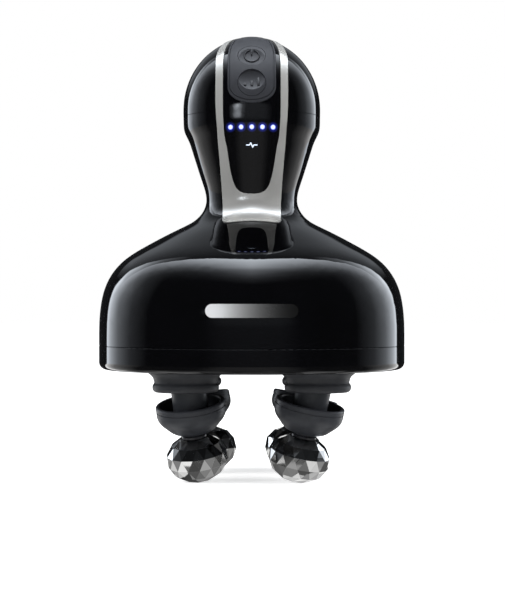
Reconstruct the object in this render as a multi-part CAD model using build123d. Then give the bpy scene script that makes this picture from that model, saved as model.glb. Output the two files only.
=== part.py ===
from build123d import *
import math
import os

os.makedirs("parts", exist_ok=True)

# Electric scalp massager, in millimetres. Z is up, the front faces -Y, and Z = 0 is the plane
# under the four balls. The body is a body of revolution about the Z axis.

# Body
BODY_R = 55.0
BODY_BOTTOM_Z = 39.2
BOTTOM_ROUND = 2.6
SEAM_Z = 47.7
WALL_TOP_Z = 52.0
NECK_R = 16.4
NECK_Z = 99.6
KNOB_R = 24.7
KNOB_Z = 132.5
TOP_Z = 158.6
CAP_SEAM_Z = 130.0
WALL = 2.2
FLOOR_T = 2.0
GAP = 0.08
# How far a cutting solid reaches past what it cuts, and how deep a joined solid sinks in
OVER = 1.0
# Shape of the flank between wall and neck, and between neck and knob: (share of the step in
# radius, share of the rise)
SHOULDER_SHAPE = [
    (0.992, 0.147), (0.938, 0.357), (0.806, 0.521),
    (0.562, 0.658), (0.236, 0.796), (0.062, 0.887),
]
KNOB_SHAPE = [(0.133, 0.176), (0.458, 0.429), (0.819, 0.693)]
FLANK_STEPS = 26
DOME_STEPS = 9
SEAM_LINE = 0.18
LAP_T = 1.0
LAP_H = 3.0
LAP_ROOT_H = 1.5
LAP_RIB_W = 0.5
LAP_RIB_DROP = 2.0
SEAL_W = 1.0
SEAL_H = 0.8

# Trim loop, display panel and button pad, drawn on a plane that leans back by 45 degrees
TRIM_TILT = 45.0
TRIM_T = 1.2
TRIM_PROUD = 0.3
TONGUE_HALF = 10.25
TONGUE_V = 48.8
TONGUE_CORNER = 2.8
LOOP_HALF = 12.7
LOOP_FLARE_V = (58.0, 80.0)
LOOP_END_V = 93.0
LOOP_TOP_V = 113.7
OPENING_V = 59.84
OPENING_CORNER = (6.9, 63.6)
OPENING_SIDE = (8.75, 69.0)
OPENING_HALF = 10.1
OPENING_END_V = 91.0
OPENING_TOP_V = 112.7
PAD_HALF = 8.45
PAD_V = 76.22
PAD_BOTTOM_END_V = 82.0
PAD_TOP_END_V = 92.0
PAD_TOP_V = 111.9
PAD_PROUD = 0.2
PAD_T = 1.2
PAD_LIP = 0.55
PAD_GROOVE_W = 0.25
PAD_GROOVE_DEPTH = 0.2
LEDGE = 1.5
CUT_FROM = 74.0
CUT_DEPTH = 50.0
CUT_BACK_Y = 10.0

# Keys
KEY_TILT = 30.0
KEY_R = 4.8
KEY_GAP = 0.15
KEY_DISH = 1.0
KEY_TRAVEL = 0.8
KEY_FLANGE_DEPTH = 3.7
KEY_FLANGE_T = 0.7
KEY_FLANGE_R = 5.5
KEY_POST_R = 1.5
KEY_REACH = 8.0
KEY_BOARD_DEPTH = 9.6
POWER_Z = 150.0
LEVEL_Z = 139.9
SWITCH_NUB_R = 1.4
SWITCH_NUB_T = 0.6
SWITCH_SIDE = 6.0
SWITCH_T = 2.8
KEY_BOARD_T = 1.0
KEY_BOARD_SIZE = (15.0, 20.0)

# Status lights and lit sign
LIGHT_Z = 124.2
LIGHT_COUNT = 5
LIGHT_PITCH = 3.71
LIGHT_R = 0.8
SIGN_Z = 118.1
SIGN_SIZE = (4.4, 2.0)
SIGN_BACK_Y = -17.3
GUIDE_BAR = (18.0, 2.0, 3.6)
GUIDE_BAR_Y = -18.8
MAIN_BOARD_SIZE = (16.0, 1.2, 17.0)
MAIN_BOARD_Y = -15.2
MAIN_BOARD_Z = 112.5
CHIP = (1.6, 0.9, 1.2)

# Front bar
BAR_Z = 60.4
BAR_LENGTH = 30.9
BAR_H = 4.6
BAR_T = 0.9
BAR_PROUD = 0.25

# Heads
HEAD_TILT = 14.0
# Where each head stands, and where its bottom leans at rest, in degrees from +X towards +Y
HEADS = {
    "front_left": (225.0, 61.0),
    "front_right": (315.0, 145.0),
    "rear_left": (135.0, -33.0),
    "rear_right": (45.0, 199.0),
}
JOINT_BALL_R = 8.8
JOINT_BALL_TOP = 4.5
JOINT_GAP = 0.1
SPIGOT_R = 3.0
SPIGOT_TOP = 9.8
SPIGOT_HEADROOM = 0.4
STEM_R = 6.15
STEM_BOTTOM = 21.0
STEM_ROUND = 0.6
CUP_RIM = 12.0
CUP_R = 12.2
CUP_WALL = 1.6
CUP_BOTTOM = 22.8
CUP_STRAIGHT = 3.2
CUP_ROUND = 0.6
# A point of the cup's belly and one of its hollow: (in from the side, up from the floor)
CUP_BELLY = (2.6, 2.8)
CUP_HOLLOW = (1.6, 2.6)
CUP_GROOVE = 1.7
CUP_GROOVE_W = 0.35
CUP_GROOVE_DEPTH = 0.25
CUP_FLAT_R = 4.6
NECK_PIN_R = 3.75
NECK_PIN_BOTTOM = 24.4
RING_R = 4.5
RING_T = 0.9
RING_ROUND = 0.3
RING_GAP = 0.02
BALL_CENTRE = 32.2
BALL_R = 10.95
BALL_HALF_H = 8.65
# Rows of facet corners on a ball: (latitude in degrees, corners)
BALL_ROWS = [(62.0, 8), (38.0, 16), (13.0, 16), (-13.0, 16), (-38.0, 16), (-64.0, 8)]
STUD_R = 1.75
STUD_TOP = 14.0
STUD_GAP = 0.05
STUD_HEADROOM = 0.5

# Boots: points of the outline are (radius, height)
BOOT_FLANGE_R = 13.1
BOOT_FLANGE_T = 0.7
BOOT_FLARE = (11.5, 37.2)
BOOT_WAIST = (11.15, 36.1)
BOOT_GROOVE = (10.95, 35.2)
BOOT_BULGE = (11.6, 33.9)
BOOT_BOTTOM_Z = 31.9
BOOT_BOTTOM_R = 10.4
BOOT_LIP_T = 1.1
BOOT_MOUTH_R = 8.75
BOOT_WALL = 1.2

# Socket rings
SOCKET_BOSS_R = 10.5
SOCKET_BOSS_Z = 36.5
RETAINER_R = 12.0
RETAINER_BORE_R = 5.0
RETAINER_TOP_Z = 44.2

# Gear train
MODULE = 1.0
SUN_TEETH = 37
CRANK_TEETH = 28
PRESSURE_ANGLE = 20.0
DEDENDUM = 1.25
FLANK_POINTS = 5
BACKLASH = 0.16
GEAR_Z = 48.0
GEAR_T = 4.0
SUN_HUB_R = 6.0
SUN_HUB_Z = (47.7, 52.6)
CRANK_HUB_Z = 46.7
CRANK_HUB_R = 7.0
RUN_GAP = 0.03
CRANK_BOSS_R = 5.0
CRANK_BOSS_TOP_Z = 52.8
JOURNAL_R = 3.0
JOURNAL_TOP_Z = 56.6
PLATE_Z = 53.0
PLATE_T = 3.0
PLATE_R = 38.6
BUSH_R = 4.5
POST_OFFSET = 30.0
POST_R = 3.2
POST_HOLE_DEPTH = 8.0
POST_SCREW_LENGTH = 9.0
SCREW_R = 1.2
SCREW_HEAD_R = 2.4
SCREW_HEAD_T = 1.6
SCREW_CROSS = (2.6, 0.6, 0.7)

# Geared motor
SHAFT_R = 2.5
SHAFT_BOTTOM_Z = 47.6
SHAFT_TOP_Z = 62.0
GEARHEAD_R = 15.0
GEARHEAD_T = 12.0
GEARHEAD_FLANGE_R = 19.5
GEARHEAD_FLANGE_T = 2.0
GEARHEAD_SPIGOT_R = 6.0
MOTOR_SCREW_OFFSET = 17.2
MOTOR_SCREW_LENGTH = 4.5
MOTOR_R = 12.2
MOTOR_LENGTH = 23.0
MOTOR_ROUND = 1.5
MOTOR_BEARING = (3.5, 1.2)
MOTOR_TERMINAL = (1.0, 2.6, 2.4)
MOTOR_TERMINAL_X = 6.0

# Battery
CELL_R = 9.2
CELL_LENGTH = 50.0
CELL_Y = 3.4
CELL_BOTTOM_Z = 97.5
CELL_GAP = 0.1
CELL_ROUND = 0.8
CRADLE_WALL = 1.1
CRADLE_Z = (100.5, 146.0)
CRADLE_MOUTH = 12.0
CRADLE_HOOP = 6.0
TAB_SIZE = (6.0, 5.0, 0.3)

# Case screws and charging contacts
CASE_SCREW_OFFSET = 43.5
CASE_SCREW_TURN = 15.0
CASE_SCREW_R = 1.5
CASE_SCREW_HEAD_R = 2.8
CASE_SCREW_HEAD_T = 1.8
CASE_SCREW_TOP_Z = 58.0
CASE_SCREW_CROSS = (3.2, 0.7, 0.8)
CASE_BOSS_R = 4.4
CASE_BOSS_TOP_Z = 84.0
COVER_BOSS_R = 4.8
COVER_BOSS_TOP_Z = 47.0
BOSS_GAP = 0.4
WELL_R = 3.1
WELL_TOP_Z = 44.0
CHARGE_Z = 62.0
CHARGE_SIZE = (14.0, 6.0)
CHARGE_DEPTH = 0.6
CHARGE_PITCH = 7.0
CHARGE_PIN_R = 1.3
CHARGE_PIN_TAIL = 1.5
CHARGE_BLOCK = (14.0, 5.0, 8.0)
CHARGE_BLOCK_GAP = 0.2


def lean(angle):
    """Sine and cosine of an angle in degrees."""
    return math.sin(math.radians(angle)), math.cos(math.radians(angle))


# Places that follow from the sizes above
CRANK_CENTRES = MODULE * (SUN_TEETH + CRANK_TEETH) / 2
TILT_SIN, TILT_COS = lean(HEAD_TILT)


def ball_corners():
    """Corners of the facets, row by row, about the ball's own centre."""
    rows = []
    for row, (latitude, count) in enumerate(BALL_ROWS):
        up, out = lean(latitude)
        stagger = 0.5 if row % 2 else 0.0
        turns = [2 * math.pi * (k + stagger) / count for k in range(count)]
        rows.append([(BALL_R * out * math.cos(a), BALL_R * out * math.sin(a), BALL_HALF_H * up) for a in turns])
    return rows


def pivot_height():
    """Height of the heads' pivots that puts the lowest facet corner of a leaning ball on Z = 0."""
    corners = [corner for row in ball_corners() for corner in row]
    return max((BALL_CENTRE - z) * TILT_COS - x * TILT_SIN for x, y, z in corners)


PIVOT_Z = pivot_height()


def tube(outer_r, inner_r, bottom_z, top_z):
    """Ring about the Z axis."""
    return Pos(0, 0, bottom_z) * extrude(Circle(outer_r) - Circle(inner_r), top_z - bottom_z)


def rod(radius, bottom_z, top_z):
    """Cylinder about the Z axis."""
    return Pos(0, 0, bottom_z) * extrude(Circle(radius), top_z - bottom_z)


# The body's outline
def flank():
    """Outline from the top of the straight wall to the widest part of the knob."""
    shoulder = [
        (NECK_R + (BODY_R - NECK_R) * r, WALL_TOP_Z + (NECK_Z - WALL_TOP_Z) * z) for r, z in SHOULDER_SHAPE
    ]
    knob = [(NECK_R + (KNOB_R - NECK_R) * r, NECK_Z + (KNOB_Z - NECK_Z) * z) for r, z in KNOB_SHAPE]
    points = [(BODY_R, WALL_TOP_Z)] + shoulder + [(NECK_R, NECK_Z)] + knob + [(KNOB_R, KNOB_Z)]
    return Spline([(r, 0, z) for r, z in points], tangents=[(0, 0, 1), (0, 0, 1)])


FLANK = flank()
DOME_H = TOP_Z - KNOB_Z


def outline_points(inset):
    """Points of the body's outline above the straight wall, moved inwards by inset."""
    points = []
    for step in range(FLANK_STEPS):
        at = FLANK @ (step / FLANK_STEPS)
        along = FLANK % (step / FLANK_STEPS)
        points.append((at.X - along.Z * inset, at.Z + along.X * inset))
    for step in range(DOME_STEPS):
        up, out = lean(90.0 * step / DOME_STEPS)
        normal = Vector(out / KNOB_R, 0, up / DOME_H).normalized()
        points.append((KNOB_R * out - normal.X * inset, KNOB_Z + DOME_H * up - normal.Z * inset))
    points.append((0, TOP_Z - inset))
    return points


def body(inset=0.0, bottom_z=BODY_BOTTOM_Z):
    """The body's form, moved inwards by inset, from bottom_z up."""
    points = outline_points(inset)
    curve = Spline([(r, 0, z) for r, z in points], tangents=[(0, 0, 1), (-1, 0, 0)])
    wall = Line((BODY_R - inset, 0, bottom_z), (BODY_R - inset, 0, WALL_TOP_Z))
    floor = Line((0, 0, bottom_z), (BODY_R - inset, 0, bottom_z))
    axis = Line((0, 0, TOP_Z - inset), (0, 0, bottom_z))
    return revolve(make_face([wall, curve, axis, floor]), Axis.Z)


def radius_at(z):
    """The body's radius at a height."""
    if z <= WALL_TOP_Z:
        return BODY_R
    if z >= KNOB_Z:
        return KNOB_R * math.sqrt(1 - ((z - KNOB_Z) / DOME_H) ** 2)
    low, high = 0.0, 1.0
    for _ in range(40):
        middle = (low + high) / 2
        if (FLANK @ middle).Z < z:
            low = middle
        else:
            high = middle
    return (FLANK @ low).X


def skin(outer_inset, inner_inset):
    """Layer between two insets of the body's surface."""
    return body(outer_inset) - body(inner_inset)


def band(solid, bottom_z, top_z):
    """What of a solid lies between two heights."""
    slab = Pos(0, 0, bottom_z) * extrude(Rectangle(4 * BODY_R, 4 * BODY_R), top_z - bottom_z)
    return solid & slab


# Outlines on the leaning plane of the trim
TRIM_PLANE = Plane(origin=(0, 0, 0), x_dir=(1, 0, 0), z_dir=(0, -lean(TRIM_TILT)[1], lean(TRIM_TILT)[0]))


def both_halves(edges):
    """Face between a right-hand half outline and its mirror image."""
    return make_face(list(edges) + [mirror(edge, Plane.YZ) for edge in edges])


def loop_face(grow=0.0):
    """Outer outline of the trim loop."""
    tongue = TONGUE_HALF + grow
    half = LOOP_HALF + grow
    bottom = TONGUE_V - grow
    corner = TONGUE_CORNER + grow
    return both_halves([
        Line((0, bottom), (tongue - corner, bottom)),
        CenterArc((tongue - corner, bottom + corner), corner, 270, 90),
        Line((tongue, bottom + corner), (tongue, LOOP_FLARE_V[0])),
        Spline((tongue, LOOP_FLARE_V[0]), (half, LOOP_FLARE_V[1]), tangents=[(0, 1), (0, 1)]),
        Line((half, LOOP_FLARE_V[1]), (half, LOOP_END_V)),
        EllipticalCenterArc((0, LOOP_END_V), half, LOOP_TOP_V + grow - LOOP_END_V, arc_size=90),
    ])


def opening_face(grow=0.0):
    """Outline of the opening in the trim loop, which the display panel fills."""
    half = OPENING_HALF + grow
    side = Spline(
        (0, OPENING_V - grow),
        (OPENING_CORNER[0] + grow, OPENING_CORNER[1] - grow),
        (OPENING_SIDE[0] + grow, OPENING_SIDE[1]),
        (half, LOOP_FLARE_V[1]),
        tangents=[(1, 0), (0, 1)],
    )
    return both_halves([
        side,
        Line((half, LOOP_FLARE_V[1]), (half, OPENING_END_V)),
        EllipticalCenterArc((0, OPENING_END_V), half, OPENING_TOP_V + grow - OPENING_END_V, arc_size=90),
    ])


def pad_face(grow=0.0):
    """Outline of the button pad."""
    half = PAD_HALF + grow
    return both_halves([
        EllipticalCenterArc((0, PAD_BOTTOM_END_V), half, PAD_BOTTOM_END_V - PAD_V + grow, 270, arc_size=90),
        Line((half, PAD_BOTTOM_END_V), (half, PAD_TOP_END_V)),
        EllipticalCenterArc((0, PAD_TOP_END_V), half, PAD_TOP_V + grow - PAD_TOP_END_V, arc_size=90),
    ])


def punch(face):
    """Prism of an outline on the leaning plane, through the front and top of the handle."""
    front = Pos(0, CUT_BACK_Y - BODY_R, TOP_Z / 2) * Box(2 * BODY_R, 2 * BODY_R, 2 * TOP_Z)
    return extrude(TRIM_PLANE.offset(CUT_FROM) * face, CUT_DEPTH) & front


# Keys
def key_plane(z):
    """Plane at the middle of a key's face, looking out along its travel."""
    up, out = lean(KEY_TILT)
    return Plane(origin=(0, -radius_at(z), z), x_dir=(1, 0, 0), z_dir=(0, -out, up))


def key_rod(z, radius, depth):
    """Round bar along a key's travel, from a depth below its face out past the surface."""
    return extrude(key_plane(z).offset(-depth) * Circle(radius), depth + KEY_REACH)


def key(z):
    """A dished rubber key with its flange and post."""
    plane = key_plane(z)
    flange_top = plane.offset(-KEY_FLANGE_DEPTH)
    post_length = switch_depth(z) - KEY_TRAVEL - KEY_FLANGE_DEPTH
    dish_r = (KEY_R ** 2 + KEY_DISH ** 2) / (2 * KEY_DISH)
    head = key_rod(z, KEY_R, KEY_FLANGE_DEPTH) & body(-PAD_PROUD)
    head -= plane.offset(dish_r - KEY_DISH) * Sphere(dish_r)
    flange = extrude(flange_top * Circle(KEY_FLANGE_R), -KEY_FLANGE_T)
    post = extrude(flange_top * Circle(KEY_POST_R), -post_length)
    return head + flange + post


def board_depth(z):
    """How far below a key's face the key board lies. One flat board carries both switches."""
    plane = key_plane(z)
    return KEY_BOARD_DEPTH + (plane.origin - key_plane(POWER_Z).origin).dot(plane.z_dir)


def switch_depth(z):
    """How far below a key's face its switch begins."""
    return board_depth(z) - SWITCH_T - SWITCH_NUB_T


def switch(z):
    """The tact switch under a key."""
    plane = key_plane(z)
    nub = extrude(plane.offset(-switch_depth(z)) * Circle(SWITCH_NUB_R), -SWITCH_NUB_T)
    case = extrude(plane.offset(-board_depth(z)) * Rectangle(SWITCH_SIDE, SWITCH_SIDE), SWITCH_T)
    return nub + case


def key_board():
    """Board that carries both switches."""
    plane = key_plane(POWER_Z)
    middle = (key_plane(LEVEL_Z).origin - plane.origin).dot(plane.y_dir) / 2
    sheet = plane.offset(-board_depth(POWER_Z)) * Pos(0, middle) * Rectangle(*KEY_BOARD_SIZE)
    return extrude(sheet, -KEY_BOARD_T)


# Status lights
def light_places():
    """Places of the status lights along X, left to right."""
    return [(k - (LIGHT_COUNT - 1) / 2) * LIGHT_PITCH for k in range(LIGHT_COUNT)]


def pipe(x, z, radius, front_y, back_y):
    """Round bar along Y."""
    return Pos(x, back_y, z) * Rot(90, 0, 0) * extrude(Circle(radius), back_y - front_y)


def light_pipes(radius):
    """The round bars of all status lights, from the guide bar out past the surface."""
    return [pipe(x, LIGHT_Z, radius, -KNOB_R - OVER, GUIDE_BAR_Y) for x in light_places()]


def sign_prism(grow):
    """Prism of the lit sign, from behind the wall out past the surface."""
    face = Rectangle(SIGN_SIZE[0] + 2 * grow, SIGN_SIZE[1] + 2 * grow)
    return Pos(0, SIGN_BACK_Y, SIGN_Z) * Rot(90, 0, 0) * extrude(face, KNOB_R)


# Openings that several pieces share
def bar_prism(grow):
    """Round-ended prism of the front bar, out through the front."""
    face = Plane.XZ * Pos(0, BAR_Z) * SlotOverall(BAR_LENGTH + 2 * grow, BAR_H + 2 * grow)
    return extrude(face, 2 * BODY_R)


def charge_face_y():
    """Place of the flat charging face along Y, sunk below the body's surface all over."""
    least_r = radius_at(CHARGE_Z + CHARGE_SIZE[1] / 2)
    return math.sqrt(least_r ** 2 - (CHARGE_SIZE[0] / 2) ** 2) - CHARGE_DEPTH


def charge_block_y():
    """Place of the charging block's shoulder along Y, just inside the wall."""
    inner_r = radius_at(CHARGE_Z + CHARGE_BLOCK[2] / 2) - WALL
    return math.sqrt(inner_r ** 2 - (CHARGE_BLOCK[0] / 2) ** 2) - CHARGE_BLOCK_GAP


def charge_slot(grow, inner_y, outer_y):
    """Round-ended bar along Y with the outline of the charging face."""
    outline = SlotOverall(CHARGE_SIZE[0] + 2 * grow, CHARGE_SIZE[1] + 2 * grow)
    return extrude(Plane.XZ.offset(-inner_y) * Pos(0, CHARGE_Z) * outline, inner_y - outer_y)


def charge_pins(grow):
    """The two contact pins, along Y, flush with the charging face."""
    back_y = charge_block_y() - CHARGE_BLOCK[1] - CHARGE_PIN_TAIL
    places = (-CHARGE_PITCH / 2, CHARGE_PITCH / 2)
    return [pipe(x, CHARGE_Z, CHARGE_PIN_R + grow, back_y, charge_face_y()) for x in places]


def case_screw_spots():
    """Places of the four screws that hold the base to the housing."""
    return [Rot(0, 0, CASE_SCREW_TURN + turn) * Pos(CASE_SCREW_OFFSET, 0, 0) for turn in (0, 90, 180, 270)]


def post_spots():
    """Places of the four posts that carry the gearbox plate."""
    return [Rot(0, 0, turn) * Pos(POST_OFFSET, 0, 0) for turn in (0, 90, 180, 270)]


def head_spot(name):
    """Upright place of a head's axis, at Z = 0."""
    across, along = lean(HEADS[name][0])
    return Pos(CRANK_CENTRES * along, CRANK_CENTRES * across, 0)


def head_frame(name):
    """Place of a head: origin at its pivot, local Z up along its leaning axis."""
    return head_spot(name) * Pos(0, 0, PIVOT_Z) * Rot(0, 0, HEADS[name][1]) * Rot(0, -HEAD_TILT, 0)


# Case
TRIM_POCKET = skin(-OVER, TRIM_T + GAP / 2) & punch(loop_face(GAP))


def seam_line(radius, z):
    """Ring that cuts the fine V line round a seam."""
    section = Polyline(
        (radius - SEAM_LINE, 0, z),
        (radius, 0, z + SEAM_LINE),
        (radius + SEAM_LINE, 0, z),
        (radius, 0, z - SEAM_LINE),
        close=True,
    )
    return revolve(make_face(section), Axis.Z)


def main_housing():
    """The body between the two seams, with its screw bosses and all its openings."""
    shell = band(body() - body(WALL, BODY_BOTTOM_Z - OVER), SEAM_Z, CAP_SEAM_Z)
    core = body(WALL / 2)
    for spot in case_screw_spots():
        shell += spot * rod(CASE_BOSS_R, COVER_BOSS_TOP_Z + BOSS_GAP, CASE_BOSS_TOP_Z) & core
        shell -= spot * rod(CASE_SCREW_R + GAP, COVER_BOSS_TOP_Z, CASE_SCREW_TOP_Z + OVER)
    shell -= TRIM_POCKET
    for hole in light_pipes(LIGHT_R + GAP):
        shell -= hole
    shell -= sign_prism(GAP)
    shell -= skin(-OVER, BAR_T + GAP / 2) & bar_prism(GAP)
    shell -= charge_slot(GAP, charge_face_y() - 2 * WALL, 2 * BODY_R)
    return shell - seam_line(BODY_R, SEAM_Z) - seam_line(radius_at(CAP_SEAM_Z), CAP_SEAM_Z)


def handle_cap():
    """The dome over the handle, open behind the button pad."""
    shell = band(body() - body(WALL), CAP_SEAM_Z, TOP_Z + OVER)
    lap_inner = body(WALL + GAP + LAP_T)
    lap = band(body(WALL + GAP) - lap_inner, CAP_SEAM_Z - LAP_H, CAP_SEAM_Z)
    root = band(body(WALL / 2) - lap_inner, CAP_SEAM_Z, CAP_SEAM_Z + LAP_ROOT_H)
    shell += lap + root
    shell -= TRIM_POCKET
    return shell - punch(pad_face(-LEDGE)) - seam_line(radius_at(CAP_SEAM_Z), CAP_SEAM_Z)


def base_cover():
    """The pan under the body, with posts, screw wells and the lower half of the heads' sockets."""
    floor_z = BODY_BOTTOM_Z + FLOOR_T
    root_z = BODY_BOTTOM_Z + FLOOR_T / 2
    lap_r = BODY_R - WALL - GAP
    groove_r = BODY_R - (WALL - SEAL_W) / 2
    pan = rod(BODY_R, BODY_BOTTOM_Z, SEAM_Z)
    pan = fillet(pan.edges().group_by(Axis.Z)[0], BOTTOM_ROUND)
    pan -= rod(BODY_R - WALL, floor_z, SEAM_Z + OVER)
    pan += tube(lap_r, lap_r - LAP_T, floor_z, SEAM_Z + LAP_H)
    pan += tube(BODY_R - WALL + LAP_RIB_W, lap_r - LAP_T, floor_z, SEAM_Z - LAP_RIB_DROP)
    pan -= tube(groove_r, groove_r - SEAL_W, SEAM_Z - SEAL_H, SEAM_Z + OVER)
    for spot in case_screw_spots():
        pan += spot * rod(COVER_BOSS_R, root_z, COVER_BOSS_TOP_Z)
        pan -= spot * rod(WELL_R, BODY_BOTTOM_Z - OVER, WELL_TOP_Z)
        pan -= spot * rod(CASE_SCREW_R + GAP, BODY_BOTTOM_Z, SEAM_Z)
    for spot in post_spots():
        pan += spot * rod(POST_R, root_z, PLATE_Z)
        pan -= spot * rod(SCREW_R + GAP, PLATE_Z - POST_HOLE_DEPTH, PLATE_Z + OVER)
    for name in HEADS:
        spot = head_spot(name)
        pan += spot * rod(SOCKET_BOSS_R, SOCKET_BOSS_Z, floor_z)
        pan -= spot * Pos(0, 0, PIVOT_Z) * Sphere(JOINT_BALL_R + JOINT_GAP)
    return pan - seam_line(BODY_R, SEAM_Z)


def base_seal():
    """The ring in the groove of the base's rim."""
    groove_r = BODY_R - (WALL - SEAL_W) / 2
    return tube(groove_r - GAP / 2, groove_r - SEAL_W + GAP / 2, SEAM_Z - SEAL_H + GAP / 2, SEAM_Z - GAP / 2)


def cross_slot(size):
    """The cross in a screw's head, from (length, width, depth), about its open face."""
    length, width, depth = size
    return Box(length, width, 2 * depth) + Box(width, length, 2 * depth)


def cover_screws():
    """The four screws up through the base into the housing's bosses."""
    head_z = WELL_TOP_Z - CASE_SCREW_HEAD_T
    screw = rod(CASE_SCREW_HEAD_R, head_z, WELL_TOP_Z) + rod(CASE_SCREW_R, head_z + OVER, CASE_SCREW_TOP_Z)
    screw -= Pos(0, 0, head_z) * cross_slot(CASE_SCREW_CROSS)
    return [spot * screw for spot in case_screw_spots()]


# Front module
def trim_frame():
    """The silver loop with its tongue, standing a little proud of the body."""
    return skin(-TRIM_PROUD, TRIM_T) & punch(loop_face() - opening_face())


def display_panel():
    """The dark panel inside the loop, round the pad."""
    panel = skin(0.0, TRIM_T) & punch(opening_face(-GAP) - pad_face(GAP))
    for hole in light_pipes(LIGHT_R + GAP):
        panel -= hole
    return panel - sign_prism(GAP)


def button_pad():
    """The rubber pad round both keys, with a fine groove inside its edge."""
    pad = skin(-PAD_PROUD, PAD_T) & punch(pad_face())
    groove = pad_face(-PAD_LIP) - pad_face(-PAD_LIP - PAD_GROOVE_W)
    pad -= skin(-OVER, PAD_GROOVE_DEPTH) & punch(groove)
    for z in (POWER_Z, LEVEL_Z):
        pad -= key_rod(z, KEY_R + KEY_GAP, KEY_FLANGE_DEPTH + OVER)
    return pad


def light_guide():
    """The clear bar behind the panel, with one round light pipe for each status light."""
    length, depth, height = GUIDE_BAR
    guide = Pos(0, GUIDE_BAR_Y + depth / 2, LIGHT_Z) * Box(length, depth, height)
    for x in light_places():
        guide += pipe(x, LIGHT_Z, LIGHT_R, -KNOB_R - OVER, GUIDE_BAR_Y + depth / 2)
    return guide & body()


def mode_window():
    """The small clear window of the lit sign."""
    return (sign_prism(0) & body()) - body(TRIM_T + WALL)


def front_bar():
    """The bright bar across the front."""
    return skin(-BAR_PROUD, BAR_T) & bar_prism(0)


# Electronics
def main_board():
    """Upright circuit board behind the display panel."""
    width, thickness, height = MAIN_BOARD_SIZE
    return Pos(0, MAIN_BOARD_Y + thickness / 2, MAIN_BOARD_Z + height / 2) * Box(width, thickness, height)


def status_leds():
    """One chip behind each status light, and one behind the lit sign."""
    y = MAIN_BOARD_Y - CHIP[1] / 2
    chips = [Pos(x, y, LIGHT_Z) * Box(*CHIP) for x in light_places()]
    return chips + [Pos(0, y, SIGN_Z) * Box(*CHIP)]


def battery_cell():
    """One round lithium cell, upright in the handle."""
    cell = Pos(0, CELL_Y, 0) * rod(CELL_R, CELL_BOTTOM_Z, CELL_BOTTOM_Z + CELL_LENGTH)
    return fillet(cell.edges().filter_by(GeomType.CIRCLE), CELL_ROUND)


def battery_cradle():
    """Tube round the cell, open at the front between its two end hoops."""
    bottom_z, top_z = CRADLE_Z
    ring = Pos(0, CELL_Y, 0) * tube(CELL_R + CELL_GAP + CRADLE_WALL, CELL_R + CELL_GAP, bottom_z, top_z)
    mouth = Box(CRADLE_MOUTH, 2 * CELL_R, top_z - bottom_z - 2 * CRADLE_HOOP)
    return ring - Pos(0, CELL_Y - CELL_R, (bottom_z + top_z) / 2) * mouth


def battery_tabs():
    """The two contact tabs, one on each end of the cell."""
    width, depth, thickness = TAB_SIZE
    tab = Box(width, depth, thickness)
    below = Pos(0, CELL_Y, CELL_BOTTOM_Z - thickness / 2) * tab
    above = Pos(0, CELL_Y, CELL_BOTTOM_Z + CELL_LENGTH + thickness / 2) * tab
    return [below, above]


def charge_block():
    """Holder of the two charging contacts, whose nose fills the slot in the rear wall."""
    width, depth, height = CHARGE_BLOCK
    block = Pos(0, charge_block_y() - depth / 2, CHARGE_Z) * Box(width, depth, height)
    block += charge_slot(0, charge_block_y() - OVER, charge_face_y())
    for hole in charge_pins(GAP):
        block -= hole
    return block


# Drive
def involute(angle):
    """The involute function of a pressure angle in radians."""
    return math.tan(angle) - angle


def gear_face(teeth, first_tooth):
    """Outline of a spur gear with one tooth centred on the direction first_tooth, in degrees."""
    pitch_r = MODULE * teeth / 2
    pressure = math.radians(PRESSURE_ANGLE)
    base_r = pitch_r * math.cos(pressure)
    root_r = pitch_r - DEDENDUM * MODULE
    tip_r = pitch_r + MODULE
    half_at_pitch = math.pi / (2 * teeth) - BACKLASH / (4 * pitch_r)
    flank_start = max(root_r, base_r)
    step = (tip_r - flank_start) / (FLANK_POINTS - 1)
    radii = [flank_start + step * k for k in range(FLANK_POINTS)]
    profile = [(r, half_at_pitch + involute(pressure) - involute(math.acos(base_r / r))) for r in radii]
    if root_r < base_r:
        profile.insert(0, (root_r, profile[0][1]))
    points = []
    for tooth in range(teeth):
        middle = math.radians(first_tooth) + 2 * math.pi * tooth / teeth
        rising = [(r, middle - half) for r, half in profile]
        falling = [(r, middle + half) for r, half in reversed(profile)]
        points += [(r * math.cos(a), r * math.sin(a)) for r, a in rising + falling]
    return make_face(Polyline(*points, close=True))


def sun_gear():
    """The middle gear, fixed on the motor's output shaft."""
    disc = Pos(0, 0, GEAR_Z) * extrude(gear_face(SUN_TEETH, 0), GEAR_T)
    return disc + rod(SUN_HUB_R, *SUN_HUB_Z) - rod(SHAFT_R, 0, TOP_Z)


def output_shaft():
    """The gearhead's output shaft."""
    return rod(SHAFT_R, SHAFT_BOTTOM_Z, SHAFT_TOP_Z)


def crank_tooth(turn):
    """Direction of one tooth of the crank gear that meshes with the sun gear in direction turn."""
    pitch = 360.0 / SUN_TEETH
    sun_offset = round(turn / pitch) * pitch - turn
    return turn + 180.0 - sun_offset * SUN_TEETH / CRANK_TEETH + 180.0 / CRANK_TEETH


def crank_gear(name):
    """A head's gear, whose leaning bore drives the head's spigot round."""
    gear = Pos(0, 0, GEAR_Z) * extrude(gear_face(CRANK_TEETH, crank_tooth(HEADS[name][0])), GEAR_T)
    gear += rod(CRANK_HUB_R, CRANK_HUB_Z, GEAR_Z + OVER)
    gear += rod(CRANK_BOSS_R, GEAR_Z + GEAR_T - OVER, CRANK_BOSS_TOP_Z)
    gear += rod(JOURNAL_R, CRANK_BOSS_TOP_Z - OVER, JOURNAL_TOP_Z)
    gear = head_spot(name) * gear
    return gear - head_frame(name) * rod(SPIGOT_R + RUN_GAP, 0, SPIGOT_TOP + SPIGOT_HEADROOM)


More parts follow.
